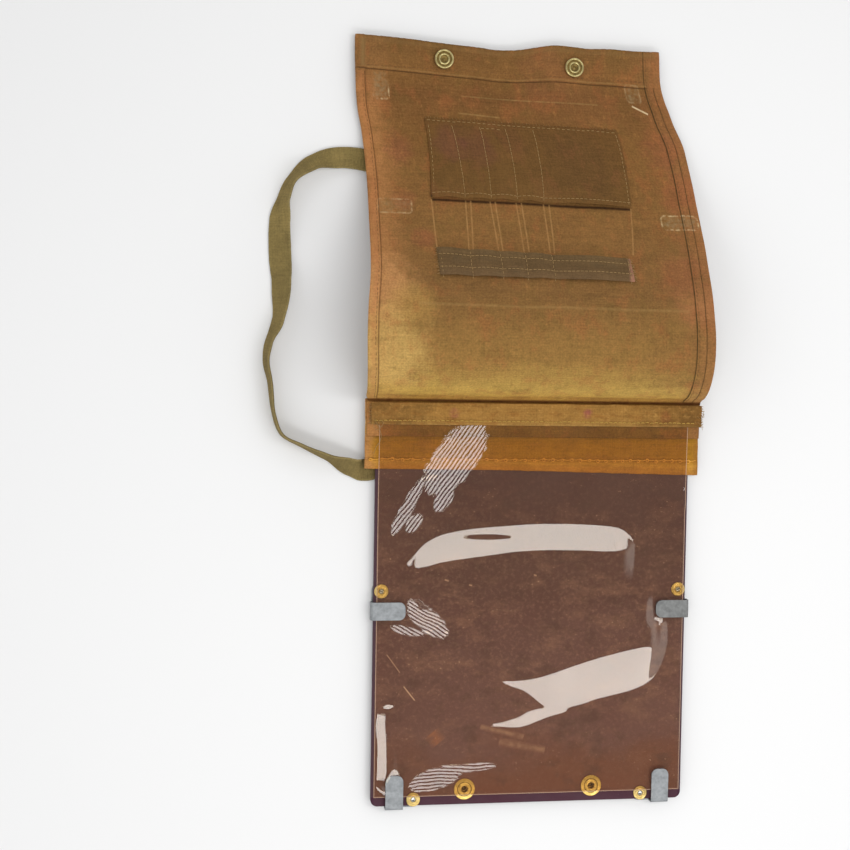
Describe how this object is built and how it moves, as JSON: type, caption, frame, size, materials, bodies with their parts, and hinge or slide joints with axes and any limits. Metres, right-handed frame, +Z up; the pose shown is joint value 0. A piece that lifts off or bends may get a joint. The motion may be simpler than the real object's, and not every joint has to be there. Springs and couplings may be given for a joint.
{
  "type": "map case",
  "caption": "Open map case: board in a canvas sleeve under a clear sheet held by turning clips, with a canvas flap, pencil pocket and carrying strap.",
  "frame": {"origin": "bottom centre of the whole case as it lies open, on the surface it rests on", "axes": "+X across the board to the right, +Y from the board's foot towards the flap's free end, +Z up out of the board's face"},
  "size_m": [0.3172, 0.5484, 0.067],
  "materials": {
    "board_laminate": "worn satin laminated fibre",
    "sleeve_canvas": "ochre canvas",
    "strip_canvas": "ochre canvas, frayed ends",
    "celluloid": "clear yellowed sheet, scratched",
    "flap_canvas": "stained olive ochre canvas",
    "pocket_canvas": "darker ochre canvas",
    "band_canvas": "grey olive canvas",
    "zinc_plate": "dull zinc plate",
    "rivet_brass": "aged brass",
    "snap_brass": "aged brass",
    "black_enamel": "black enamel",
    "webbing": "olive cotton webbing"
  },
  "bodies": {
    "case": {"map_board": "board_laminate", "board_sleeve": "sleeve_canvas", "hinge_strip": "strip_canvas", "clear_cover": "celluloid", "flap": "flap_canvas", "pencil_pocket": "pocket_canvas", "pocket_keeper_band": "band_canvas", "side_rivet_left": "rivet_brass", "side_rivet_right": "rivet_brass", "foot_rivet_left": "rivet_brass", "foot_rivet_right": "rivet_brass", "board_snap_left": "snap_brass", "board_snap_right": "snap_brass", "flap_socket_left": "snap_brass", "flap_socket_right": "snap_brass", "flap_cap_left": "black_enamel", "flap_cap_right": "black_enamel", "carrying_strap": "webbing"},
    "side_clip_l": {"side_clip_left": "zinc_plate"},
    "side_clip_r": {"side_clip_right": "zinc_plate"},
    "foot_clip_l": {"foot_clip_left": "zinc_plate"},
    "foot_clip_r": {"foot_clip_right": "zinc_plate"}
  },
  "joints": [
    {"name": "side_left_pivot", "type": "hinge", "parent": "case", "child": "side_clip_l", "pos_m": [-0.07294, -0.1169, 0.0026], "axis": [0, 0, 1], "range_deg": [-100, 0]},
    {"name": "side_right_pivot", "type": "hinge", "parent": "case", "child": "side_clip_r", "pos_m": [0.14606, -0.1169, 0.0026], "axis": [0, 0, 1], "range_deg": [0, 100]},
    {"name": "foot_left_pivot", "type": "hinge", "parent": "case", "child": "foot_clip_l", "pos_m": [-0.04774, -0.2674, 0.0026], "axis": [0, 0, 1], "range_deg": [0, 100]},
    {"name": "foot_right_pivot", "type": "hinge", "parent": "case", "child": "foot_clip_r", "pos_m": [0.12086, -0.2674, 0.0026], "axis": [0, 0, 1], "range_deg": [-100, 0]}
  ]
}
